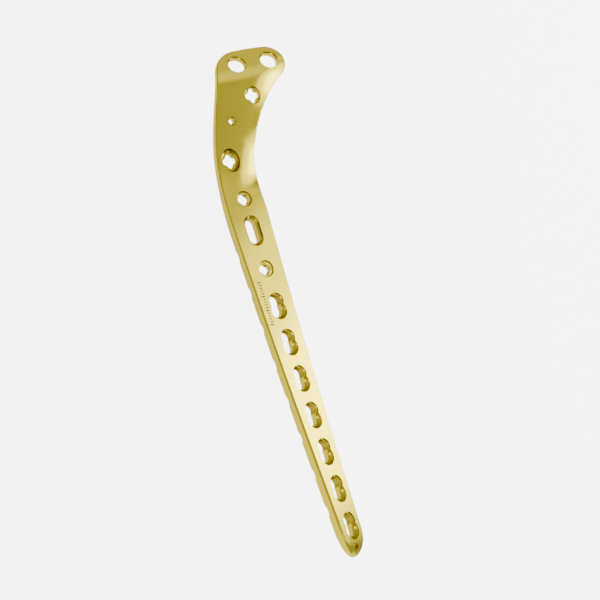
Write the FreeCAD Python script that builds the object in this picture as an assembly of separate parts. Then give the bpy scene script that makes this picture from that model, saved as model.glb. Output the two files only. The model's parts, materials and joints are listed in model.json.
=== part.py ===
import FreeCAD, Part
import math
import os

# Bone plate: one solid of anodised titanium, all sizes in millimetres.
# Before it is laid down, X runs along the shaft towards the head, Y to the left and Z up.
# A place on the plate is given by x (along) and v (across, left positive) on its upper face.

# Overall outline, as corner points in x and v with the radius that rounds each corner.
tail_end_x = -88.6
tail_nose_length = 10.0
shaft_half_width = 7.2
shaft_widening = 0.0205
left_bend_x = 50.4
left_bend_radius = 140.0
crown_left_x = 91.1
crown_left_v = -3.7
crown_left_radius = 12.0
crown_right_x = 90.1
crown_right_v = -29.0
crown_right_radius = 6.0
lobe_x = 80.6
lobe_v = -29.2
lobe_radius = 5.6
neck_x = 64.2
neck_radius = 43.0

# Thickness of the plate at the shaft, past the neck and at the far edge of the head.
shaft_thickness = 3.5
neck_thickness = 2.7
head_thickness = 2.0
thinning_start_x = 30.0
thinning_neck_x = 50.0
thinning_end_x = 86.0

# Twist about the long axis: the roll falls steadily towards the head and stops on the flat head.
twist_deg_per_mm = 0.188
twist_zero_x = -39.0
twist_stop_x = 60.0
twist_fade = 14.0

# Side profile: a slight bow of the shaft, a rise at the neck and a drop at the tip of the head.
bow_start_x = -120.0
bow_length = 190.0
bow_slope = 0.06
rise_start_x = 44.5
rise_length = 17.0
rise_slope = 0.134
drop_start_x = 76.5
drop_length = 9.0
drop_slope = -0.47

# The upper face rolls off towards the right edge in two fields of the neck and head.
waist_roll_start_x = 38.5
waist_roll_end_x = 62.5
waist_roll_radius = 20.0
lobe_roll_start_x = 65.0
lobe_roll_end_x = 86.0
lobe_roll_radius = 24.0
roll_blend = 9.0
roll_line_x = 44.0
roll_line_v = 1.5
roll_line_slope = -0.46
roll_soft = 2.0
roll_reach = 12.0
roll_reach_power = 4

# The tail end slopes down towards its nose.
nose_drop_start_x = -80.0
nose_drop_depth = 1.9
nose_drop_power = 3

# Rounded edges.
top_edge_radius = 0.9
bottom_edge_bevel = 0.3
edge_lift = 0.04

# Row of seven combination holes.
combi_count = 7
combi_pitch = 13.0
waist_half_width = 2.58
lock_mouth_radius = 3.0
lock_wall_radius = 2.5
lock_foot_radius = 2.25
lock_chamfer_depth = 0.5
seat_mouth_radius = 3.2
seat_centre_height = 1.0
shank_radius = 2.0
shank_travel = 1.6

# Holes with four lobes: place, mouth radius and the proportions all of them share.
lobed_near_x = 13.2
lobed_near_mouth_radius = 3.0
lobed_mid_x = 38.5
lobed_mid_mouth_radius = 2.82
lobed_head_x = 72.8
lobed_head_v = -12.8
lobed_head_mouth_radius = 3.15
lobed_rim_step = 0.42
lobed_rim_depth = 0.6
lobed_ledge = 0.08
lobed_core_radius = 1.95
lobed_lobe_radius = 1.05

# Large oval countersink of the neck with a four-lobed hole in its floor.
oval_x = 52.6
oval_v = 0.8
oval_half_width = 3.35
oval_half_length = 4.15
oval_floor_half_width = 2.6
oval_floor_half_length = 3.1
oval_depth = 1.3
oval_core_reach = 2.55

# Long slot with a bevelled rim.
slot_x = 27.0
slot_v = 0.2
slot_half_travel = 2.45
slot_mouth_radius = 3.05
slot_wall_radius = 1.95
slot_bevel_depth = 1.1

# Two plain round holes of the head.
round_left_x = 84.8
round_left_v = -10.5
round_right_x = 84.3
round_right_v = -22.9
round_mouth_radius = 3.42
round_wall_radius = 3.0
round_bevel_depth = 0.5

# Wire holes: one in the head, one through the sloping nose.
wire_radius = 1.0
wire_mouth_radius = 1.5
wire_bevel_depth = 0.4
wire_head_x = 65.6
wire_head_v = -2.8
wire_tail_x = -85.3
wire_tail_v = 0.4

# Shallow arches across the underside, one between each pair of shaft openings.
arch_count = 8
arch_first_x = 19.6
arch_radius = 4.0
arch_depth = 0.85

# How the plate lies when it is put down, and how finely the curved faces are laid out.
lie_roll_deg = 12.13
lie_pitch_deg = 3.44
along_step = 4.0
across_step = 4.0
field_left_v = 12.0
field_right_v = -36.0
field_margin = 4.0
tool_margin = 2.0
bevel_lift = 0.4
arc_step_deg = 15.0
line_step = 10.0
bent_steps = 12
quarter_pull = 0.5523
strip_degree = 3
mesh_fineness = 0.03


# Smooth ramp from 0 to 1: the share that has been passed at x, and the area under it.
def passed(x, start, length):
    return min(max((x - start) / length, 0.0), 1.0)


def ramp(x, start, length):
    part = passed(x, start, length)
    return part * part * (3 - 2 * part)


def ramp_area(x, start, length):
    part = passed(x, start, length)
    return part ** 3 * (1 - part / 2) * length + max(x - start - length, 0.0)


# Slope and height of the side profile at x.
def profile_slope(x):
    slope = bow_slope * ramp(x, bow_start_x, bow_length)
    slope += rise_slope * ramp(x, rise_start_x, rise_length)
    return slope + drop_slope * ramp(x, drop_start_x, drop_length)


def profile_height(x):
    height = bow_slope * ramp_area(x, bow_start_x, bow_length)
    height += rise_slope * ramp_area(x, rise_start_x, rise_length)
    return height + drop_slope * ramp_area(x, drop_start_x, drop_length)


# Roll of the section at x in radians, and how fast it changes.
def roll_angle(x):
    twisted = x - twist_zero_x - ramp_area(x, twist_stop_x - twist_fade / 2, twist_fade)
    return -math.radians(twist_deg_per_mm) * twisted


def roll_rate(x):
    return -math.radians(twist_deg_per_mm) * (1 - ramp(x, twist_stop_x - twist_fade / 2, twist_fade))


def thickness(x):
    first = neck_thickness - shaft_thickness
    second = head_thickness - neck_thickness
    thick = shaft_thickness + first * ramp(x, thinning_start_x, thinning_neck_x - thinning_start_x)
    return thick + second * ramp(x, thinning_neck_x, thinning_end_x - thinning_neck_x)


# How far the upper face has rolled off below the plain twisted face at x and v.
def field_share(x, start, end):
    return ramp(x, start, roll_blend) * (1 - ramp(x, end - roll_blend, roll_blend))


def roll_off(x, v):
    line_v = roll_line_v + roll_line_slope * (x - roll_line_x)
    reach = max(line_v - v, 0.0)
    reach = reach / (1 + (reach / roll_reach) ** roll_reach_power) ** (1 / roll_reach_power)
    bend = field_share(x, waist_roll_start_x, waist_roll_end_x) / waist_roll_radius
    bend += field_share(x, lobe_roll_start_x, lobe_roll_end_x) / lobe_roll_radius
    return bend * reach * reach / 2 * reach / (reach + roll_soft)


# How far the upper face drops below itself towards the nose.
def nose_drop(x):
    share = passed(-x, -nose_drop_start_x, nose_drop_start_x - tail_end_x)
    return nose_drop_depth * share ** nose_drop_power


# Point of the plain twisted face with its along, across and upward directions.
def face_frame(x, v):
    roll = roll_angle(x)
    across = FreeCAD.Vector(0, math.cos(roll), math.sin(roll))
    point = FreeCAD.Vector(x, 0, profile_height(x)) + across * v
    turn = FreeCAD.Vector(0, -math.sin(roll), math.cos(roll)) * (v * roll_rate(x))
    along = FreeCAD.Vector(1, 0, profile_slope(x)) + turn
    up = along.cross(across).normalize()
    along = across.cross(up).normalize()
    return point, along, across, up


# Point at a depth below the finished upper face.
def under_face(x, v, depth):
    point, along, across, up = face_frame(x, v)
    return point - up * (roll_off(x, v) + depth)


# A tool drawn round the Z axis is set on the upper face at x and v.
def set_on_face(tool, x, v):
    point, along, across, up = face_frame(x, v)
    turn = FreeCAD.Rotation(along, across, up, "ZXY")
    place = FreeCAD.Placement(under_face(x, v, 0.0), turn)
    tool.Placement = place.multiply(tool.Placement)
    return tool


# Solid of revolution about Z from a list of (radius, height) corners.
def turned(corners):
    points = [FreeCAD.Vector(radius, 0, height) for radius, height in corners]
    face = Part.Face(Part.makePolygon(points + points[:1]))
    return face.revolve(FreeCAD.Vector(), FreeCAD.Vector(0, 0, 1), 360)


# Stadium wire at a height: half circles of one radius, their centres apart along X.
def stadium(radius, start, end, height):
    near = FreeCAD.Vector(start, 0, height)
    far = FreeCAD.Vector(end, 0, height)
    side = FreeCAD.Vector(0, radius, 0)
    reach = FreeCAD.Vector(radius, 0, 0)
    edges = [Part.makeLine(near - side, far - side)]
    edges.append(Part.Arc(far - side, far + reach, far + side).toShape())
    edges.append(Part.makeLine(far + side, near + side))
    edges.append(Part.Arc(near + side, near - reach, near - side).toShape())
    return Part.Wire(edges)


def prism(wire, height):
    return Part.Face(wire).extrude(FreeCAD.Vector(0, 0, height))


# Radius of a bevel carried on above the face it starts from.
def carried_on(mouth, wall, bevel):
    return mouth + (mouth - wall) * bevel_lift / bevel


# Round hole: bevel from the mouth to the wall, then a wall that may narrow to the foot.
def round_tool(mouth, wall, foot, bevel, depth):
    low = -depth - tool_margin
    wide = carried_on(mouth, wall, bevel)
    corners = [(0, tool_margin), (wide, tool_margin), (wide, bevel_lift), (wall, -bevel)]
    return turned(corners + [(foot, low), (0, low)])


# Four lobes round a core, along and across the plate.
def lobed_core(reach, top, depth):
    low = -depth - tool_margin
    height = top - low
    core = Part.makeCylinder(lobed_core_radius, height, FreeCAD.Vector(0, 0, low))
    offset = reach - lobed_lobe_radius
    for quarter in range(4):
        angle = math.pi / 2 * quarter
        centre = FreeCAD.Vector(offset * math.cos(angle), offset * math.sin(angle), low)
        core = core.fuse(Part.makeCylinder(lobed_lobe_radius, height, centre))
    return core


def lobed_tool(mouth, depth):
    inner = mouth - lobed_rim_step
    wide = carried_on(mouth, inner, lobed_rim_depth)
    corners = [(0, tool_margin), (wide, tool_margin), (wide, bevel_lift)]
    corners += [(inner, -lobed_rim_depth), (0, -lobed_rim_depth)]
    return turned(corners).fuse(lobed_core(inner - lobed_ledge, -lobed_rim_depth / 2, depth))


# Oval wire at a height.
def oval(half_length, half_width, height):
    place = FreeCAD.Vector(0, 0, height)
    curve = Part.Ellipse(place, half_length, half_width)
    return Part.Wire([curve.toShape()])


def oval_tool(depth):
    long = carried_on(oval_half_length, oval_floor_half_length, oval_depth)
    wide = carried_on(oval_half_width, oval_floor_half_width, oval_depth)
    bowl = Part.makeLoft([oval(long, wide, bevel_lift),
                          oval(oval_floor_half_length, oval_floor_half_width, -oval_depth)], True)
    lid = prism(oval(long, wide, bevel_lift), tool_margin)
    return bowl.fuse(lid).fuse(lobed_core(oval_core_reach, -oval_depth / 2, depth))


def slot_tool(depth):
    travel = slot_half_travel
    wide = carried_on(slot_mouth_radius, slot_wall_radius, slot_bevel_depth)
    mouth = stadium(wide, -travel, travel, bevel_lift)
    foot = stadium(slot_wall_radius, -travel, travel, -slot_bevel_depth)
    bevel = Part.makeLoft([mouth, foot], True, True)
    low = -depth - tool_margin
    wall = prism(stadium(slot_wall_radius, -travel, travel, low), -low - slot_bevel_depth / 2)
    return bevel.fuse(prism(mouth, tool_margin)).fuse(wall)


# Combination hole: a locking bore towards the head joined to a bowl towards the tail.
def combi_tool(depth):
    lock_x = math.sqrt(lock_mouth_radius ** 2 - waist_half_width ** 2)
    seat_x = -math.sqrt(seat_mouth_radius ** 2 - waist_half_width ** 2)
    lock = round_tool(lock_mouth_radius, lock_wall_radius, lock_foot_radius,
                      lock_chamfer_depth, depth)
    lock.translate(FreeCAD.Vector(lock_x, 0, 0))
    ball_radius = math.hypot(seat_mouth_radius, seat_centre_height)
    ball = Part.makeSphere(ball_radius, FreeCAD.Vector(seat_x, 0, seat_centre_height))
    low = -depth - tool_margin
    shank = prism(stadium(shank_radius, seat_x, seat_x + shank_travel, low), -low)
    return lock.fuse(ball).fuse(shank)


# Corner points of the outline from the right of the tail round the head to the left of the tail.
def outline_corners():
    side = shaft_half_width + shaft_widening * neck_x
    left = shaft_half_width + shaft_widening * left_bend_x
    return [(neck_x, -side, neck_radius), (lobe_x, lobe_v, lobe_radius),
            (crown_right_x, crown_right_v, crown_right_radius),
            (crown_left_x, crown_left_v, crown_left_radius),
            (left_bend_x, left, left_bend_radius)]


# Points along a straight run, its first point left out.
def run_points(start, end):
    length = math.hypot(end[0] - start[0], end[1] - start[1])
    steps = max(int(length / line_step), 1)
    shares = [(step + 1) / steps for step in range(steps)]
    return [(start[0] + (end[0] - start[0]) * share,
             start[1] + (end[1] - start[1]) * share) for share in shares]


# Points round a corner: an arc of the radius between its two tangent points.
def corner_points(before, corner, after):
    x, v, radius = corner
    angle_in = math.atan2(v - before[1], x - before[0])
    angle_out = math.atan2(after[1] - v, after[0] - x)
    turn = math.remainder(angle_out - angle_in, 2 * math.pi)
    cut = radius * math.tan(abs(turn) / 2)
    start = (x - cut * math.cos(angle_in), v - cut * math.sin(angle_in))
    side = math.copysign(math.pi / 2, turn)
    centre = (start[0] + radius * math.cos(angle_in + side),
              start[1] + radius * math.sin(angle_in + side))
    steps = max(math.ceil(abs(turn) / math.radians(arc_step_deg)),
                math.ceil(abs(turn) * radius / line_step))
    points = []
    for step in range(steps + 1):
        angle = angle_in - side + turn * step / steps
        points.append((centre[0] + radius * math.cos(angle),
                       centre[1] + radius * math.sin(angle)))
    return points


# Closed outline in x and v: half an ellipse for the nose, then the rounded corners.
def outline():
    nose_x = tail_end_x + tail_nose_length
    nose_v = shaft_half_width + shaft_widening * nose_x
    steps = math.ceil(math.pi / math.radians(arc_step_deg))
    angles = [math.pi / 2 + math.pi * step / steps for step in range(steps + 1)]
    points = [(nose_x + tail_nose_length * math.cos(angle), nose_v * math.sin(angle))
              for angle in angles]
    corners = outline_corners()
    path = [points[-1]] + corners + [points[0]]
    for index, corner in enumerate(corners):
        arc = corner_points(path[index], corner, path[index + 2])
        points += run_points(points[-1], arc[0]) + arc[1:]
    return points + run_points(points[-1], points[0])[:-1]


# Outline with the outward direction at each of its points.
def directed_outline():
    points = outline()
    directed = []
    for before, point, after in zip(points[-1:] + points[:-1], points, points[1:] + points[:1]):
        run_x = after[0] - before[0]
        run_v = after[1] - before[1]
        run = math.hypot(run_x, run_v)
        directed.append((point[0], point[1], run_v / run, -run_x / run))
    return directed


# Length along the outline from its first point to each point, and once round.
def lap_lengths(directed):
    laps = [0.0]
    for before, after in zip(directed, directed[1:] + directed[:1]):
        laps.append(laps[-1] + math.hypot(after[0] - before[0], after[1] - before[1]))
    return laps


# Closed smooth curve beside the outline, moved inwards and to a depth given for each point.
def outline_curve(directed, laps, inset, depth_of):
    places = []
    for x, v, out_x, out_v in directed:
        point, along, across, up = face_frame(x, v)
        inward = (along * out_x + across * out_v) * -inset
        places.append(under_face(x, v, 0.0) + inward - up * depth_of(x))
    curve = Part.BSplineCurve()
    curve.interpolate(Points=places, PeriodicFlag=True, Parameters=laps)
    curve.setNotPeriodic()
    return curve


# Smooth face over the whole field at a depth given by a function of x.
def field_face(depth_of):
    count_x = math.ceil((crown_left_x - tail_end_x + 2 * field_margin) / along_step)
    count_v = math.ceil((field_left_v - field_right_v) / across_step)
    line = [field_right_v + across_step * column for column in range(count_v + 1)]
    row = [tail_end_x - field_margin + along_step * station for station in range(count_x + 1)]
    surface = Part.BSplineSurface()
    surface.interpolate([[under_face(x, v, depth_of(x)) for v in line] for x in row])
    return surface


# Slab between the upper face and the underside, wider than the plate on every side.
def slab():
    top = field_face(nose_drop)
    low = field_face(thickness)
    faces = [top.toShape(), low.toShape()]
    first_u, last_u, first_v, last_v = top.bounds()
    for bound in (first_u, last_u):
        faces.append(Part.makeRuledSurface(top.uIso(bound).toShape(), low.uIso(bound).toShape()))
    for bound in (first_v, last_v):
        faces.append(Part.makeRuledSurface(top.vIso(bound).toShape(), low.vIso(bound).toShape()))
    shell = Part.makeShell(faces)
    shell.sewShape()
    solid = Part.makeSolid(shell)
    if solid.Volume < 0:
        solid.reverse()
    return solid


# Strip that sweeps a quarter circle between two curves, the corner curve between them.
def round_strip(curves):
    poles = []
    for first, corner, last in zip(*[curve.getPoles() for curve in curves]):
        poles.append([first, first + (corner - first) * quarter_pull,
                      last + (corner - last) * quarter_pull, last])
    rail = curves[0]
    strip = Part.BSplineSurface()
    ends = [strip_degree + 1, strip_degree + 1]
    strip.buildFromPolesMultsKnots(poles, rail.getMultiplicities(), ends, rail.getKnots(),
                                   [0.0, 1.0], False, False, rail.Degree, strip_degree)
    return strip.toShape()


# Steps of the outline in groups: (first point, last point, whether they lie on the straight shaft).
def stretches(directed):
    groups = []
    for index, place in enumerate(directed):
        middle_x = (place[0] + directed[(index + 1) % len(directed)][0]) / 2
        straight = tail_end_x + tail_nose_length < middle_x < thinning_start_x
        if straight or not groups or groups[-1][2] or index - groups[-1][0] == bent_steps:
            groups.append([index, index + 1, straight])
        else:
            groups[-1][1] = index + 1
    return groups


# Part of a curve between two parameters, or the straight line between its ends.
def stretch(curve, start, end, straight):
    if straight:
        return Part.LineSegment(curve.value(start), curve.value(end)).toBSpline()
    piece = curve.copy()
    piece.segment(start, end)
    return piece


# Wall round the outline, square to the faces: its upper rim is rounded, its lower rim bevelled.
def outline_wall():
    directed = directed_outline()
    upper = top_edge_radius
    lower = bottom_edge_bevel
    levels = [(upper, lambda x: nose_drop(x) - edge_lift - tool_margin),
              (upper, lambda x: nose_drop(x) - edge_lift),
              (0.0, lambda x: nose_drop(x) - edge_lift),
              (0.0, lambda x: nose_drop(x) - edge_lift + upper),
              (0.0, lambda x: thickness(x) - lower),
              (lower + tool_margin, lambda x: thickness(x) + tool_margin)]
    laps = lap_lengths(directed)
    curves = [outline_curve(directed, laps, inset, depth_of) for inset, depth_of in levels]
    faces = []
    for first, last, straight in stretches(directed):
        rails = [stretch(curve, laps[first], laps[last], straight) for curve in curves]
        edges = [rail.toShape() for rail in rails]
        faces.append(Part.makeRuledSurface(edges[0], edges[1]))
        faces.append(round_strip(rails[1:4]))
        faces.append(Part.makeRuledSurface(edges[3], edges[4]))
        faces.append(Part.makeRuledSurface(edges[4], edges[5]))
    wall = Part.makeShell(faces)
    wall.sewShape()
    return wall


# The plate's blank: the part of the slab inside the wall.
def blank():
    pieces, sources = slab().generalFuse([outline_wall()])
    inside = under_face(0.0, 0.0, shaft_thickness / 2)
    return [piece for piece in pieces.Solids if piece.isInside(inside, edge_lift, False)][0]


# Arch across the underside at x: a lying cylinder that bites into the lower face.
def arch(x):
    width = 2 * (shaft_half_width + tool_margin)
    cylinder = Part.makeCylinder(arch_radius, width, FreeCAD.Vector(0, -width / 2, 0),
                                 FreeCAD.Vector(0, 1, 0))
    cylinder.translate(FreeCAD.Vector(0, 0, arch_depth - arch_radius - thickness(x)))
    return cylinder


# All the tools of the plate, each set on the upper face at its place.
def tools():
    cuts = []
    for index in range(combi_count):
        x = -combi_pitch * index
        cuts.append(set_on_face(combi_tool(thickness(x)), x, 0.0))
    for x, v, mouth in ((lobed_near_x, 0.0, lobed_near_mouth_radius),
                        (lobed_mid_x, 0.0, lobed_mid_mouth_radius),
                        (lobed_head_x, lobed_head_v, lobed_head_mouth_radius)):
        cuts.append(set_on_face(lobed_tool(mouth, thickness(x)), x, v))
    cuts.append(set_on_face(oval_tool(thickness(oval_x)), oval_x, oval_v))
    cuts.append(set_on_face(slot_tool(thickness(slot_x)), slot_x, slot_v))
    for x, v in ((round_left_x, round_left_v), (round_right_x, round_right_v)):
        tool = round_tool(round_mouth_radius, round_wall_radius, round_wall_radius,
                          round_bevel_depth, thickness(x))
        cuts.append(set_on_face(tool, x, v))
    for x, v in ((wire_head_x, wire_head_v), (wire_tail_x, wire_tail_v)):
        tool = round_tool(wire_mouth_radius, wire_radius, wire_radius,
                          wire_bevel_depth, thickness(x) + tool_margin)
        cuts.append(set_on_face(tool, x, v))
    for index in range(arch_count):
        x = arch_first_x - combi_pitch * index
        cuts.append(set_on_face(arch(x), x, 0.0))
    return cuts


# The plate laid down: turned to its resting pose, centred, its lowest point at height zero.
def laid_down(solid):
    solid.rotate(FreeCAD.Vector(), FreeCAD.Vector(1, 0, 0), lie_roll_deg)
    solid.rotate(FreeCAD.Vector(), FreeCAD.Vector(0, 1, 0), lie_pitch_deg)
    points = solid.copy().tessellate(mesh_fineness)[0]
    middle_x = (min(point.x for point in points) + max(point.x for point in points)) / 2
    middle_y = (min(point.y for point in points) + max(point.y for point in points)) / 2
    lowest = min(point.z for point in points)
    solid.translate(FreeCAD.Vector(-middle_x, -middle_y, -lowest))
    return solid


plate = blank().cut(tools()).Solids[0]
plate = laid_down(plate)
os.makedirs("parts", exist_ok=True)
plate.exportStep("parts/bone_plate.step")
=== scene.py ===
import json
import math

import bmesh
import bpy
import numpy as np
from mathutils import Euler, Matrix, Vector


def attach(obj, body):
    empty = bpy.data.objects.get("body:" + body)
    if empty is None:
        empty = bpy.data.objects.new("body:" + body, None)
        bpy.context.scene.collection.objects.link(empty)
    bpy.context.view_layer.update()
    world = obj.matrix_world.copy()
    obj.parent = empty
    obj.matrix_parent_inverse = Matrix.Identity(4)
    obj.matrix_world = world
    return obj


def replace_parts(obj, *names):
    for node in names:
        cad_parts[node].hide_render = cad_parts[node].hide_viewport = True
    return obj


# Looks of the bone plate: gold-anodised titanium on a plain pale floor. The scene is in metres.
# The plate's own sizes are in millimetres, as in its source: x along the shaft, v across it.
millimetre = 0.001

# Upper face of the plate, by the same formulas as the solid.
twist_deg_per_mm = 0.188
twist_zero_x = -39.0
twist_stop_x = 60.0
twist_fade = 14.0
bow_start_x, bow_length, bow_slope = -120.0, 190.0, 0.06
rise_start_x, rise_length, rise_slope = 44.5, 17.0, 0.134
drop_start_x, drop_length, drop_slope = 76.5, 9.0, -0.47
waist_roll_start_x, waist_roll_end_x, waist_roll_radius = 38.5, 62.5, 20.0
lobe_roll_start_x, lobe_roll_end_x, lobe_roll_radius = 65.0, 86.0, 24.0
roll_blend = 9.0
roll_line_x, roll_line_v, roll_line_slope = 44.0, 1.5, -0.46
roll_soft = 2.0
roll_reach = 12.0
roll_reach_power = 4
nose_drop_start_x, tail_end_x, nose_drop_depth = -80.0, -88.6, 1.9
nose_drop_power = 3
shaft_thickness, neck_thickness, head_thickness = 3.5, 2.7, 2.0
thinning_start_x, thinning_neck_x, thinning_end_x = 30.0, 50.0, 86.0
lie_roll_deg = 12.13
lie_pitch_deg = 3.44
row_middle_x = -39.0

# Holes, with the sizes of the solid.
combi_count, combi_pitch, waist_half_width = 7, 13.0, 2.58
lock_mouth_radius, lock_wall_radius, lock_foot_radius, lock_chamfer_depth = 3.0, 2.5, 2.25, 0.5
seat_mouth_radius, seat_centre_height, shank_radius, shank_travel = 3.2, 1.0, 2.0, 1.6
lobed_near_x, lobed_near_mouth_radius = 13.2, 3.0
lobed_mid_x, lobed_mid_mouth_radius = 38.5, 2.82
lobed_head_x, lobed_head_v, lobed_head_mouth_radius = 72.8, -12.8, 3.15
lobed_rim_step, lobed_rim_depth, lobed_ledge = 0.42, 0.6, 0.08
lobed_core_radius, lobed_lobe_radius = 1.95, 1.05
oval_x, oval_v, oval_half_length, oval_depth, oval_core_reach = 52.6, 0.8, 4.15, 1.3, 2.55
slot_x, slot_v, slot_half_travel, slot_mouth_radius = 27.0, 0.2, 2.45, 3.05
round_left_x, round_left_v = 84.8, -10.5
round_right_x, round_right_v = 84.3, -22.9
round_mouth_radius = 3.42
wire_head_x, wire_head_v = 65.6, -2.8
wire_tail_x, wire_tail_v = -85.3, 0.4
wire_mouth_radius = 1.5
tool_margin = 2.0

# Fine screw threads on the walls of the locking and lobed holes.
thread_pitch = 0.5
thread_height = 0.16
thread_half_width = 0.23
thread_root = 0.03
thread_turn_steps = 60
thread_run_out = 0.3
thread_start_gap = 0.3
thread_foot_gap = 0.25

# Plain tick scale on the upper face, beside the first hole of the row.
scale_first_x, scale_last_x, scale_step = 9.0, -6.0, 1.0
scale_inner_v, scale_short, scale_long, scale_long_every = 4.0, 1.0, 1.6, 5
scale_line_width, scale_line_blur = 0.34, 0.04

# Skin of the anodised metal.
film_gold = (0.66, 0.545, 0.03, 1.0)
film_straw = (0.64, 0.505, 0.024, 1.0)
# Brown of the painted shade line at the hole mouths, also used in the painted shade of the ledges.
hole_shade_brown = (0.11, 0.085, 0.012, 1.0)
# Darker colours of the bore walls and threads: painted shade of the recesses.
bore_shade_gold = (0.50, 0.41, 0.05, 1.0)
bore_shade_brown = (0.34, 0.26, 0.03, 1.0)
patch_size = 0.03
grain_size = 0.00012
grain_low, grain_high = 0.3, 0.7

# Finishes: lowest and highest roughness, and the depth of the grain in metres.
satin_finish = (0.17, 0.23, 0.000002)
bore_finish = (0.36, 0.48, 0.000004)
milled_finish = (0.60, 0.75, 0.000004)

# Painted shade lines round the hole mouths, and the etched marks on the face.
rim_shade_depth = 0.05
rim_shade_start, rim_shade_end = 0.4, 0.7
etched_grey = (0.05, 0.05, 0.045, 1.0)

# How the walls of the holes are told from the other faces.
hole_slack = 0.3
down_share, up_share, sheer_share = 0.5, 0.93, 0.35
ledge_depth = 0.3

# How the solid's coarse shading is told from its true faces.
weld_distance = 0.001
nearest_laps = 6
slope_step = 0.05
face_slack = 0.3
face_turn_deg = 16.0
crease_deg = 34.0

# Camera, at the viewing angle of the photograph.
camera_place = (-0.05108, 0.28555, 0.44790)
camera_turn_deg = (15.869, -29.239, -110.202)
camera_lens_mm = 92.2
camera_sensor_mm = 36.0
camera_clip_start = 0.01

# Stage.
floor_half_size = 3.0
floor_tone = (0.90, 0.90, 0.90)
floor_roughness = 0.9
floor_glow = 0.9
floor_white = 6.5
horizon_strength = 0.40
zenith_strength = 0.54
camera_side_gain = 1.55
camera_side_start, camera_side_end = 0.3, 0.9

# Round soft boxes: name, azimuth from -Y towards +X, elevation, radius, brightness and colour.
soft_box_distance = 0.70
white = (1.0, 1.0, 1.0)
soft_boxes = [
    ("key_soft_box", -6.0, 37.5, 13.5, 6.5, white),
    ("key_halo", -6.0, 44.0, 23.0, 2.8, white),
    ("high_soft_box", 52.0, 54.0, 12.0, 1.1, white),
    ("tip_soft_box", 66.0, 34.0, 13.0, 0.55, white),
    ("low_soft_box", -52.0, 8.0, 8.0, 4.0, white),
    ("warm_side_box", 208.0, 46.0, 11.0, 3.2, (1.0, 0.82, 0.4)),
]


def passed(x, start, length):
    """Share of the length that x has passed, held between 0 and 1."""
    return np.clip((x - start) / length, 0.0, 1.0)


def ramp(x, start, length):
    """Smooth step p * p * (3 - 2 p), where p is the share of the length passed at x."""
    part = passed(x, start, length)
    return part * part * (3 - 2 * part)


def ramp_area(x, start, length):
    """Area under the smooth step up to x."""
    part = passed(x, start, length)
    return part ** 3 * (1 - part / 2) * length + np.maximum(x - start - length, 0.0)


def profile_slope(x):
    """Slope of the side profile: the sum of three smooth steps, for the bow, the rise and the drop."""
    slope = bow_slope * ramp(x, bow_start_x, bow_length)
    slope = slope + rise_slope * ramp(x, rise_start_x, rise_length)
    return slope + drop_slope * ramp(x, drop_start_x, drop_length)


def profile_height(x):
    """Height of the side profile: the sum of the areas under the three smooth steps."""
    height = bow_slope * ramp_area(x, bow_start_x, bow_length)
    height = height + rise_slope * ramp_area(x, rise_start_x, rise_length)
    return height + drop_slope * ramp_area(x, drop_start_x, drop_length)


def roll_angle(x):
    """Roll about the long axis: minus the twist rate times x from its zero, fading out at the head."""
    twisted = x - twist_zero_x - ramp_area(x, twist_stop_x - twist_fade / 2, twist_fade)
    return -math.radians(twist_deg_per_mm) * twisted


def roll_rate(x):
    """Slope of the roll angle along x."""
    return -math.radians(twist_deg_per_mm) * (1 - ramp(x, twist_stop_x - twist_fade / 2, twist_fade))


def thickness(x):
    """Shaft thickness plus two smooth steps, down to the neck and down to the head."""
    to_neck = ramp(x, thinning_start_x, thinning_neck_x - thinning_start_x)
    to_head = ramp(x, thinning_neck_x, thinning_end_x - thinning_neck_x)
    first = (neck_thickness - shaft_thickness) * to_neck
    second = (head_thickness - neck_thickness) * to_head
    return shaft_thickness + first + second


def field_share(x, start, end):
    """Share from 0 to 1 of a field of the roll-off: a smooth step in times a smooth step out."""
    return ramp(x, start, roll_blend) * (1 - ramp(x, end - roll_blend, roll_blend))


def roll_off(x, v):
    """Depth of the face below the plain twisted one, towards the right edge.

    It is bend * reach * reach / 2, where reach is the way past the roll line, with a soft start and a
    soft limit, and bend is 1 / radius inside each field."""
    reach = np.maximum(roll_line_v + roll_line_slope * (x - roll_line_x) - v, 0.0)
    reach = reach / (1 + (reach / roll_reach) ** roll_reach_power) ** (1 / roll_reach_power)
    bend = field_share(x, waist_roll_start_x, waist_roll_end_x) / waist_roll_radius
    bend = bend + field_share(x, lobe_roll_start_x, lobe_roll_end_x) / lobe_roll_radius
    return bend * reach * reach / 2 * reach / (reach + roll_soft)


def nose_drop(x):
    """Depth of the sloping nose: the full drop times a power of the share passed towards the tail."""
    share = passed(-x, -nose_drop_start_x, nose_drop_start_x - tail_end_x)
    return nose_drop_depth * share ** nose_drop_power


def rows(*parts):
    """The parts side by side in a new last axis."""
    return np.stack(np.broadcast_arrays(*parts), axis=-1)


def unit(vectors):
    """The vectors divided by their lengths."""
    return vectors / np.linalg.norm(vectors, axis=-1, keepdims=True)


def face_frame(x, v):
    """Point of the plain twisted face with its along, across and upward directions, one row a place.

    The point is the side profile plus v times the across direction, which is turned by the roll angle.
    The upward direction is the cross product of the slope along x and the across direction."""
    roll = roll_angle(x)
    across = rows(0.0, np.cos(roll), np.sin(roll))
    point = rows(x, 0.0, profile_height(x)) + across * rows(v)
    turn = rows(0.0, -np.sin(roll), np.cos(roll)) * rows(v * roll_rate(x))
    up = unit(np.cross(rows(1.0, 0.0, profile_slope(x)) + turn, across))
    return point, np.cross(across, up), across, up


def under_face(x, v, depth):
    """Point that lies the depth and the roll-off below the plain twisted face."""
    point, along, across, up = face_frame(x, v)
    return point - up * rows(roll_off(x, v) + depth)


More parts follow.
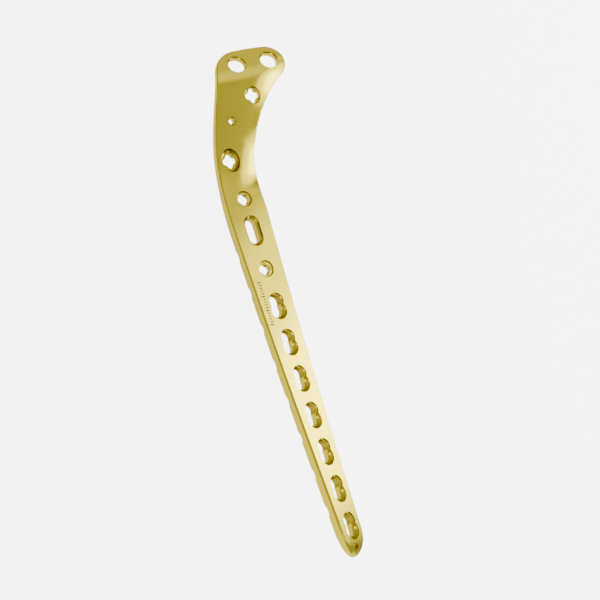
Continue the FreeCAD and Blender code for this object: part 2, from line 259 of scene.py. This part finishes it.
def lie_turn():
    """Turn about X by the lying roll, then about Y by the lying pitch."""
    roll, pitch = math.radians(lie_roll_deg), math.radians(lie_pitch_deg)
    about_x = np.array([(1, 0, 0),
                        (0, math.cos(roll), -math.sin(roll)),
                        (0, math.sin(roll), math.cos(roll))])
    about_y = np.array([(math.cos(pitch), 0, math.sin(pitch)),
                        (0, 1, 0),
                        (-math.sin(pitch), 0, math.cos(pitch))])
    return about_y @ about_x


def lie_shift(record):
    """Shift of the laid plate in millimetres: the hole row's mount is at its middle on the upper face."""
    for mount in record["mounts"]:
        if mount["name"] == "combination_hole_row":
            middle = under_face(np.array([row_middle_x]), np.array([0.0]), 0.0)[0]
            return np.array(mount["pos_m"]) / millimetre - lie_turn() @ middle
    raise ValueError("the record has no mount for the hole row")


def face_places(points, depth_of):
    """x and v of the places whose points at that depth below the upper face are nearest.

    Each lap lifts the points by the depth at the place found so far, and measures them along and across."""
    x = points[:, 0].copy()
    v = points[:, 1].copy()
    for _ in range(nearest_laps):
        depth = depth_of(x)
        point, along, across, up = face_frame(x, v)
        back = points + up * rows(roll_off(x, v) + depth)
        x = x + (back - point)[:, 0]
        v = ((back - face_frame(x, 0.0 * x)[0]) * across).sum(axis=1)
    return x, v


def face_normals(x, v, depth_of):
    """Normals of the face at that depth: the cross product of its slopes along x and v."""
    before, after = x - slope_step, x + slope_step
    run_x = under_face(after, v, depth_of(after)) - under_face(before, v, depth_of(before))
    run_v = under_face(x, v + slope_step, depth_of(x)) - under_face(x, v - slope_step, depth_of(x))
    return unit(np.cross(run_x, run_v))


def read(collection, name, width, kind=float):
    """A property of every item in a collection, as one array with a row of that width for each."""
    values = np.empty(len(collection) * width, dtype=kind)
    collection.foreach_get(name, values)
    return values.reshape(-1, width) if width > 1 else values


def merged_copy(node, name):
    """The node's mesh with its doubled corners merged, smooth except where faces meet at a crease."""
    mesh = node.data.copy()
    mesh.name = name
    work = bmesh.new()
    work.from_mesh(mesh)
    bmesh.ops.remove_doubles(work, verts=work.verts, dist=weld_distance * millimetre)
    for face in work.faces:
        face.smooth = True
    for edge in work.edges:
        edge.smooth = edge.calc_face_angle(math.pi) < math.radians(crease_deg)
    work.to_mesh(mesh)
    work.free()
    return mesh


def corner_owners(mesh):
    """Vertex and face of each face corner."""
    corner_face = np.repeat(np.arange(len(mesh.polygons)), read(mesh.polygons, "loop_total", 1, int))
    return read(mesh.loops, "vertex_index", 1, int), corner_face


def true_normals(mesh, turn, shift):
    """Custom normals: on the broad faces those of their formulas, elsewhere the smooth ones."""
    vertices = (read(mesh.vertices, "co", 3) / millimetre - shift) @ turn
    corner_vertex, corner_face = corner_owners(mesh)
    flat = read(mesh.polygons, "normal", 3) @ turn
    normals = read(mesh.corner_normals, "vector", 3)
    for depth_of, side in ((nose_drop, 1.0), (thickness, -1.0)):
        x, v = face_places(vertices, depth_of)
        near = np.linalg.norm(under_face(x, v, depth_of(x)) - vertices, axis=1) < face_slack
        true = face_normals(x, v, depth_of) * side
        facing = (flat[corner_face] * true[corner_vertex]).sum(axis=1)
        alike = facing > math.cos(math.radians(face_turn_deg))
        whole = np.ones(len(mesh.polygons), bool)
        np.logical_and.at(whole, corner_face, alike & near[corner_vertex])
        chosen = whole[corner_face]
        normals[chosen] = true[corner_vertex[chosen]] @ turn.T
    mesh.normals_split_custom_set(normals.tolist())


def combi_middles():
    """x of the middles of the locking end and the bowl, from the half width of the waist between them."""
    lock_x = math.sqrt(lock_mouth_radius ** 2 - waist_half_width ** 2)
    return lock_x, -math.sqrt(seat_mouth_radius ** 2 - waist_half_width ** 2)


def hole_places():
    """x, v and mouth radius of every hole: the slot by its two ends, a combination hole by both circles."""
    lock_x, seat_x = combi_middles()
    places = []
    for index in range(combi_count):
        places.append((lock_x - combi_pitch * index, 0.0, lock_mouth_radius))
        places.append((seat_x - combi_pitch * index, 0.0, seat_mouth_radius))
    for end in (-slot_half_travel, slot_half_travel):
        places.append((slot_x + end, slot_v, slot_mouth_radius))
    places.append((lobed_near_x, 0.0, lobed_near_mouth_radius))
    places.append((lobed_mid_x, 0.0, lobed_mid_mouth_radius))
    places.append((lobed_head_x, lobed_head_v, lobed_head_mouth_radius))
    places.append((oval_x, oval_v, oval_half_length))
    places.append((round_left_x, round_left_v, round_mouth_radius))
    places.append((round_right_x, round_right_v, round_mouth_radius))
    places.append((wire_head_x, wire_head_v, wire_mouth_radius))
    places.append((wire_tail_x, wire_tail_v, wire_mouth_radius))
    return np.array(places)


def mark_holes(mesh, turn, shift):
    """Marks the painted shade mask as 1 at corners where a hole's wall meets the upper face, and face_place as
    x, v and depth.

    The sheer walls of the bores take the second material, painted darker as shade of the recess, and the
    ledges the third, painted darker still."""
    vertices = (read(mesh.vertices, "co", 3) / millimetre - shift) @ turn
    x, v = face_places(vertices, nose_drop)
    depth = -((vertices - under_face(x, v, nose_drop(x))) * face_frame(x, v)[3]).sum(axis=1)
    holes = hole_places()
    reach = np.hypot(x[:, None] - holes[:, 0], v[:, None] - holes[:, 1]) - holes[:, 2]
    inside = reach.min(axis=1) < hole_slack
    corner_vertex, corner_face = corner_owners(mesh)
    middle = read(mesh.polygons, "center", 3) / millimetre
    up = face_frame(*face_places((middle - shift) @ turn, nose_drop))[3]
    facing = ((read(mesh.polygons, "normal", 3) @ turn) * up).sum(axis=1)
    walls = (facing > -down_share) & (facing < up_share)
    np.logical_and.at(walls, corner_face, inside[corner_vertex])
    # Corners at the mouth of a hole get the painted shade line.
    rim_shade = walls[corner_face] & (depth[corner_vertex] < rim_shade_depth)
    mesh.attributes.new("rim_shade", "FLOAT", "CORNER").data.foreach_set("value", rim_shade.astype(np.float32))
    places = rows(x, v, depth).astype(np.float32)
    mesh.attributes.new("face_place", "FLOAT_VECTOR", "POINT").data.foreach_set("vector", places.ravel())
    # Sheer walls take the bore material, painted darker as shade; ledges take the ledge material, painted
    # darker still.
    sheer = walls & (np.abs(facing) < sheer_share)
    sunk = np.ones(len(mesh.polygons), bool)
    np.logical_and.at(sunk, corner_face, inside[corner_vertex] & (depth[corner_vertex] > ledge_depth))
    ledges = sunk & (facing > up_share)
    mesh.polygons.foreach_set("material_index", np.where(ledges, 2, sheer.astype(np.int32)))


def shown(name, mesh):
    """The mesh as a piece of the plate that rides with it and takes the finish of its metal."""
    piece = bpy.data.objects.new(name, mesh)
    bpy.context.collection.objects.link(piece)
    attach(piece, "root")
    return piece


def dressed_plate(frame, turn, shift):
    """The plate as it is shown: the solid's own form with the shading of its true faces."""
    mesh = merged_copy(frame["nodes"]["bone_plate"], "anodised_plate")
    true_normals(mesh, turn, shift)
    mark_holes(mesh, turn, shift)
    mesh.materials.clear()
    mesh.materials.append(anodised_titanium())
    # Second and third materials: bore walls and ledges, both painted darker as shade.
    mesh.materials.append(shaded_bore_titanium())
    mesh.materials.append(shaded_ledge_titanium())
    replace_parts(shown("anodised_plate", mesh), "bone_plate")


def laid(points, turn, shift):
    """Points of the unlaid plate in millimetres, laid down and in metres."""
    return (points @ turn.T + shift) * millimetre


def in_hole(places, x, v):
    """Places given along, across and up from the upper face at x and v, as points of the unlaid plate."""
    point, along, across, up = (part[0] for part in face_frame(np.array([x]), np.array([v])))
    middle = under_face(np.array([x]), np.array([v]), 0.0)[0]
    return middle + places @ np.stack([along, across, up])


def lock_gap(x, y, depth):
    """How far a place lies outside the bowl and the shank opening that join the locking bore.

    The bowl is a ball and the opening is a circle that has travelled along x."""
    seat_x = combi_middles()[1]
    ball_radius = math.hypot(seat_mouth_radius, seat_centre_height)
    bowl = np.sqrt(np.maximum(ball_radius ** 2 - (depth + seat_centre_height) ** 2, 0.0))
    shank = np.hypot(x - np.clip(x, seat_x, seat_x + shank_travel), y) - shank_radius
    return np.minimum(np.hypot(x - seat_x, y) - bowl, shank)


def lobe_gap(reach):
    """A function: how far a place lies outside the four lobes that reach that far from the middle."""
    offset = reach - lobed_lobe_radius

    def gap(x, y, depth):
        """Distance to the nearest lobe circle."""
        along = np.hypot(np.abs(x) - offset, y)
        across = np.hypot(x, np.abs(y) - offset)
        return np.minimum(along, across) - lobed_lobe_radius
    return gap


def thread(name, place, centre_x, radius_at, gap, first, last, turn, shift):
    """Ridge of triangular section on a rising helix: at lap t its angle is 2 pi t, its depth last - pitch * t.

    Its crest sinks into the wall where the wall ends, by the smooth step of the gap over the run-out."""
    count = int((last - first) / thread_pitch * thread_turn_steps) + 1
    laps = np.linspace(0.0, (last - first) / thread_pitch, count)
    angle = 2 * math.pi * laps
    depth = last - thread_pitch * laps
    radius = radius_at(depth)
    free = gap(centre_x + radius * np.cos(angle), radius * np.sin(angle), depth)
    ends = np.minimum(laps, laps[-1] - laps) * 2 * math.pi
    crest = thread_height * ramp(np.minimum(free, ends), 0.0, thread_run_out)
    corner_radius = rows(radius + thread_root, radius - crest, radius + thread_root)
    corner_depth = rows(depth - thread_half_width, depth, depth + thread_half_width)
    places = rows(centre_x + corner_radius * rows(np.cos(angle)),
                  corner_radius * rows(np.sin(angle)), -corner_depth)
    kept = free > 0.0
    joined = np.flatnonzero(kept[:-1] & kept[1:])
    before = joined[:, None] * 3 + np.arange(3)
    after = before + 3
    sides = []
    for side in range(3):
        beside = (side + 1) % 3
        sides.append(np.stack([before[:, side], after[:, side], after[:, beside], before[:, beside]], 1))
    starts = joined[~np.isin(joined - 1, joined)][:, None] * 3 + np.arange(3)
    finishes = (joined[~np.isin(joined + 1, joined)] + 1)[:, None] * 3 + np.array([2, 1, 0])
    corners = np.concatenate([part.ravel() for part in sides + [starts, finishes]])
    used, faces = np.unique(corners, return_inverse=True)
    points = laid(in_hole(places.reshape(-1, 3)[used], *place), turn, shift)
    quad_corners = 4 * 3 * len(joined)
    quads = faces[:quad_corners].reshape(-1, 4).tolist()
    ends = faces[quad_corners:].reshape(-1, 3).tolist()
    mesh = bpy.data.meshes.new(name)
    mesh.from_pydata(points.tolist(), [], quads + ends)
    # The threads take the bore material, painted darker as shade.
    mesh.materials.append(shaded_bore_titanium())
    return shown(name, mesh)


def locking_threads(turn, shift):
    """Thread in the tapered locking end of each combination hole."""
    lock_x = combi_middles()[0]
    wall_length = shaft_thickness + tool_margin - lock_chamfer_depth
    first, last = lock_chamfer_depth + thread_start_gap, shaft_thickness - thread_foot_gap

    def radius_at(depth):
        """Radius of the tapered wall: from the wall radius to the foot radius by the share of its length."""
        share = (depth - lock_chamfer_depth) / wall_length
        return lock_wall_radius + (lock_foot_radius - lock_wall_radius) * share

    for index in range(combi_count):
        thread(f"locking_thread_{index + 1}", (-combi_pitch * index, 0.0), lock_x, radius_at, lock_gap,
               first, last, turn, shift)


def lobed_threads(turn, shift):
    """Threads on the four cusps that the lobes leave standing in the core of each lobed hole."""
    inset = lobed_rim_step + lobed_ledge
    holes = [("near", lobed_near_x, 0.0, lobed_near_mouth_radius - inset, lobed_rim_depth),
             ("mid", lobed_mid_x, 0.0, lobed_mid_mouth_radius - inset, lobed_rim_depth),
             ("head", lobed_head_x, lobed_head_v, lobed_head_mouth_radius - inset, lobed_rim_depth),
             ("neck", oval_x, oval_v, oval_core_reach, oval_depth)]

    def radius_at(depth):
        """The core radius at every depth."""
        return np.full_like(depth, lobed_core_radius)

    for name, x, v, reach, top in holes:
        thread(f"{name}_cusp_thread", (x, v), 0.0, radius_at, lobe_gap(reach),
               top + thread_start_gap, thickness(x) - thread_foot_gap, turn, shift)


def shader(name):
    """A new material with its node tree and its surface shader."""
    material = bpy.data.materials.new(name)
    material.use_nodes = True
    return material, material.node_tree, material.node_tree.nodes["Principled BSDF"]


def blasted_skin():
    """Node group: slow patches and fine grain over Object coordinates, as masks from 0 to 1."""
    group = bpy.data.node_groups.get("blasted_skin")
    if group:
        return group
    group = bpy.data.node_groups.new("blasted_skin", "ShaderNodeTree")
    group.interface.new_socket("Place", in_out="INPUT", socket_type="NodeSocketVector")
    group.interface.new_socket("Patch Size", in_out="INPUT", socket_type="NodeSocketFloat")
    group.interface.new_socket("Grain Size", in_out="INPUT", socket_type="NodeSocketFloat")
    group.interface.new_socket("Patches", in_out="OUTPUT", socket_type="NodeSocketFloat")
    group.interface.new_socket("Grain", in_out="OUTPUT", socket_type="NodeSocketFloat")
    entry = group.nodes.new("NodeGroupInput")
    leave = group.nodes.new("NodeGroupOutput")
    for size, mask, detail in (("Patch Size", "Patches", 2.0), ("Grain Size", "Grain", 3.0)):
        scale = group.nodes.new("ShaderNodeMath")
        scale.operation = "DIVIDE"
        scale.inputs[0].default_value = 1.0
        noise = group.nodes.new("ShaderNodeTexNoise")
        noise.inputs["Detail"].default_value = detail
        group.links.new(entry.outputs[size], scale.inputs[1])
        group.links.new(entry.outputs["Place"], noise.inputs["Vector"])
        group.links.new(scale.outputs[0], noise.inputs["Scale"])
        group.links.new(noise.outputs["Fac"], leave.inputs[mask])
    return group


def skin_on(tree, surface, roughness_low, roughness_high, grain_depth):
    """Places the skin in a material: it feeds the roughness and a fine bump, and gives its patch mask."""
    place = tree.nodes.new("ShaderNodeTexCoord")
    skin = tree.nodes.new("ShaderNodeGroup")
    skin.node_tree = blasted_skin()
    skin.inputs["Patch Size"].default_value = patch_size
    skin.inputs["Grain Size"].default_value = grain_size
    tree.links.new(place.outputs["Object"], skin.inputs["Place"])
    gloss = tree.nodes.new("ShaderNodeMapRange")
    gloss.inputs["From Min"].default_value = grain_low
    gloss.inputs["From Max"].default_value = grain_high
    gloss.inputs["To Min"].default_value = roughness_low
    gloss.inputs["To Max"].default_value = roughness_high
    tree.links.new(skin.outputs["Grain"], gloss.inputs["Value"])
    tree.links.new(gloss.outputs["Result"], surface.inputs["Roughness"])
    bump = tree.nodes.new("ShaderNodeBump")
    bump.inputs["Distance"].default_value = grain_depth
    tree.links.new(skin.outputs["Grain"], bump.inputs["Height"])
    tree.links.new(bump.outputs["Normal"], surface.inputs["Normal"])
    return skin.outputs["Patches"]


def blend(tree, share, first, second):
    """Mix of two colours, each a socket or a value, by a share."""
    mix = tree.nodes.new("ShaderNodeMix")
    mix.data_type = "RGBA"
    tree.links.new(share, mix.inputs["Factor"])
    for socket, colour in ((mix.inputs["A"], first), (mix.inputs["B"], second)):
        if isinstance(colour, tuple):
            socket.default_value = colour
        else:
            tree.links.new(colour, socket)
    return mix.outputs["Result"]


def anodised_titanium():
    """Satin gold film: straw-coloured patches, and a brown line of painted shade where a hole's wall meets the
    face.
    """
    material, tree, surface = shader("anodised_titanium")
    patches = skin_on(tree, surface, *satin_finish)
    film = blend(tree, patches, film_gold, film_straw)
    # Painted shade: a brown line along the mouth of every hole, read from the mask set on the mesh.
    rim_shade = tree.nodes.new("ShaderNodeAttribute")
    rim_shade.attribute_name = "rim_shade"
    edge = share_between(tree, rim_shade.outputs["Fac"], rim_shade_start, rim_shade_end)
    film = blend(tree, edge, film, hole_shade_brown)
    ticks = tick_mask(tree)
    tree.links.new(blend(tree, ticks, film, etched_grey), surface.inputs["Base Color"])
    tree.links.new(share_between(tree, ticks, 1.0, 0.0), surface.inputs["Metallic"])
    satin = surface.inputs["Roughness"].links[0].from_socket
    tree.links.new(combined(tree, "MAXIMUM", satin, ticks), surface.inputs["Roughness"])
    return material


def shaded_bore_titanium():
    """Rougher film on the sheer walls and threads of the bores, in darker colours that are painted shade of
    the recess.
    """
    material = bpy.data.materials.get("shaded_bore_titanium")
    if material:
        return material
    material, tree, surface = shader("shaded_bore_titanium")
    patches = skin_on(tree, surface, *bore_finish)
    # Painted shade: darker golds and browns on the walls inside the holes.
    tree.links.new(blend(tree, patches, bore_shade_gold, bore_shade_brown), surface.inputs["Base Color"])
    surface.inputs["Metallic"].default_value = 1.0
    return material


def shaded_ledge_titanium():
    """Matt film on the flat ledges that the mill leaves inside the lobed holes, in dark browns that are
    painted shade of the recess.
    """
    material, tree, surface = shader("shaded_ledge_titanium")
    patches = skin_on(tree, surface, *milled_finish)
    # Painted shade: dark browns on the ledges, which face up and would otherwise catch the light.
    tree.links.new(blend(tree, patches, bore_shade_brown, hole_shade_brown), surface.inputs["Base Color"])
    surface.inputs["Metallic"].default_value = 1.0
    return material


def share_between(tree, value, start, end):
    """Share from 0 to 1 that a value has covered between two limits."""
    share = tree.nodes.new("ShaderNodeMapRange")
    share.inputs["From Min"].default_value = start
    share.inputs["From Max"].default_value = end
    tree.links.new(value, share.inputs["Value"])
    return share.outputs["Result"]


def combined(tree, operation, *terms):
    """Arithmetic on sockets and numbers, in order."""
    node = tree.nodes.new("ShaderNodeMath")
    node.operation = operation
    for socket, term in zip(node.inputs, terms):
        if isinstance(term, float):
            socket.default_value = term
        else:
            tree.links.new(term, socket)
    return node.outputs[0]


def tick_mask(tree):
    """Share of the tick lines: bars one step apart along the plate, every fifth one longer."""
    place = tree.nodes.new("ShaderNodeAttribute")
    place.attribute_name = "face_place"
    split = tree.nodes.new("ShaderNodeSeparateXYZ")
    tree.links.new(place.outputs["Vector"], split.inputs["Vector"])
    x, v, depth = split.outputs["X"], split.outputs["Y"], split.outputs["Z"]
    masks = []
    for step, reach in ((scale_step, scale_short), (scale_step * scale_long_every, scale_long)):
        away = combined(tree, "PINGPONG", combined(tree, "SUBTRACT", x, scale_first_x), step / 2)
        line = share_between(tree, away, scale_line_width / 2 + scale_line_blur, scale_line_width / 2)
        span = share_between(tree, v, scale_inner_v + reach + scale_line_blur, scale_inner_v + reach)
        masks.append(combined(tree, "MULTIPLY", line, span))
    ticks = combined(tree, "MAXIMUM", *masks)
    for value, start, end in ((v, scale_inner_v - scale_line_blur, scale_inner_v),
                              (x, scale_first_x + scale_step / 2, scale_first_x + scale_step / 4),
                              (x, scale_last_x - scale_step / 2, scale_last_x - scale_step / 4),
                              (depth, shaft_thickness / 2, shaft_thickness / 4)):
        ticks = combined(tree, "MULTIPLY", ticks, share_between(tree, value, start, end))
    return ticks


def floor_material():
    """Pale floor that the camera sees almost white, while it lights the plate no more than a plain one."""
    material, tree, surface = shader("pale_floor")
    surface.inputs["Base Color"].default_value = (*floor_tone, 1.0)
    surface.inputs["Roughness"].default_value = floor_roughness
    surface.inputs["Emission Color"].default_value = (*floor_tone, 1.0)
    seen = tree.nodes.new("ShaderNodeLightPath")
    glow = tree.nodes.new("ShaderNodeMapRange")
    glow.inputs["To Min"].default_value = floor_glow
    glow.inputs["To Max"].default_value = floor_white
    tree.links.new(seen.outputs["Is Camera Ray"], glow.inputs["Value"])
    tree.links.new(glow.outputs["Result"], surface.inputs["Emission Strength"])
    return material


def make_floor():
    """A square in the plane z = 0 with its corners at plus or minus floor_half_size."""
    half = floor_half_size
    mesh = bpy.data.meshes.new("floor")
    mesh.from_pydata([(-half, -half, 0), (half, -half, 0), (half, half, 0), (-half, half, 0)], [],
                     [(0, 1, 2, 3)])
    mesh.materials.append(floor_material())
    floor = bpy.data.objects.new("floor", mesh)
    bpy.context.collection.objects.link(floor)


def make_world():
    """Grey sky that brightens from the horizon to the zenith, and low down towards the camera's side."""
    world = bpy.data.worlds.new("studio")
    world.use_nodes = True
    tree = world.node_tree
    place = tree.nodes.new("ShaderNodeTexCoord")
    split = tree.nodes.new("ShaderNodeSeparateXYZ")
    height = tree.nodes.new("ShaderNodeMapRange")
    height.inputs["To Min"].default_value = horizon_strength
    height.inputs["To Max"].default_value = zenith_strength
    tree.links.new(place.outputs["Generated"], split.inputs["Vector"])
    tree.links.new(split.outputs["Z"], height.inputs["Value"])
    side = tree.nodes.new("ShaderNodeMapRange")
    side.inputs["From Min"].default_value = camera_side_start
    side.inputs["From Max"].default_value = camera_side_end
    side.inputs["To Min"].default_value = 1.0
    side.inputs["To Max"].default_value = camera_side_gain
    tree.links.new(split.outputs["Y"], side.inputs["Value"])
    strength = combined(tree, "MULTIPLY", height.outputs["Result"], side.outputs["Result"])
    tree.links.new(strength, tree.nodes["Background"].inputs["Strength"])
    tree.nodes["Background"].inputs["Color"].default_value = (1.0, 1.0, 1.0, 1.0)
    bpy.context.scene.world = world


def make_soft_box(name, azimuth_deg, elevation_deg, radius_deg, brightness, colour):
    """Disc of radius distance * tan(radius) that gives the brightness: power = brightness * pi * area."""
    azimuth, elevation = math.radians(azimuth_deg), math.radians(elevation_deg)
    towards = Vector((math.sin(azimuth) * math.cos(elevation), -math.cos(azimuth) * math.cos(elevation),
                      math.sin(elevation)))
    radius = soft_box_distance * math.tan(math.radians(radius_deg))
    light = bpy.data.lights.new(name, "AREA")
    light.shape = "DISK"
    light.size = 2 * radius
    light.energy = brightness * math.pi * math.pi * radius ** 2
    light.color = colour
    box = bpy.data.objects.new(name, light)
    box.location = towards * soft_box_distance
    box.rotation_euler = towards.to_track_quat("Z", "Y").to_euler()
    bpy.context.collection.objects.link(box)


def make_camera():
    """Camera at the viewing angle of the photograph, which sees the whole plate."""
    camera = bpy.data.cameras.new("camera")
    camera.lens = camera_lens_mm
    camera.sensor_width = camera_sensor_mm
    camera.clip_start = camera_clip_start
    holder = bpy.data.objects.new("camera", camera)
    holder.location = camera_place
    holder.rotation_euler = Euler([math.radians(angle) for angle in camera_turn_deg], "XYZ")
    bpy.context.collection.objects.link(holder)
    bpy.context.scene.camera = holder


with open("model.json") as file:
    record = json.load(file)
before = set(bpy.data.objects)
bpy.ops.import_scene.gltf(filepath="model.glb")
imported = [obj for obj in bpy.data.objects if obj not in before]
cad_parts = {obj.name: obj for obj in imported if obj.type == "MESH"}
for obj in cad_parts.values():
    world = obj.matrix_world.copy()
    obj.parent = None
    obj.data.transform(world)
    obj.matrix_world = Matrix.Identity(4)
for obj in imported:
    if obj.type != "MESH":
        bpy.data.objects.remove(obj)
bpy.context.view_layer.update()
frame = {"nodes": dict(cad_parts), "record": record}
turn = lie_turn()
shift = lie_shift(frame["record"])
dressed_plate(frame, turn, shift)
locking_threads(turn, shift)
lobed_threads(turn, shift)
make_floor()
make_world()
for soft_box in soft_boxes:
    make_soft_box(*soft_box)
make_camera()
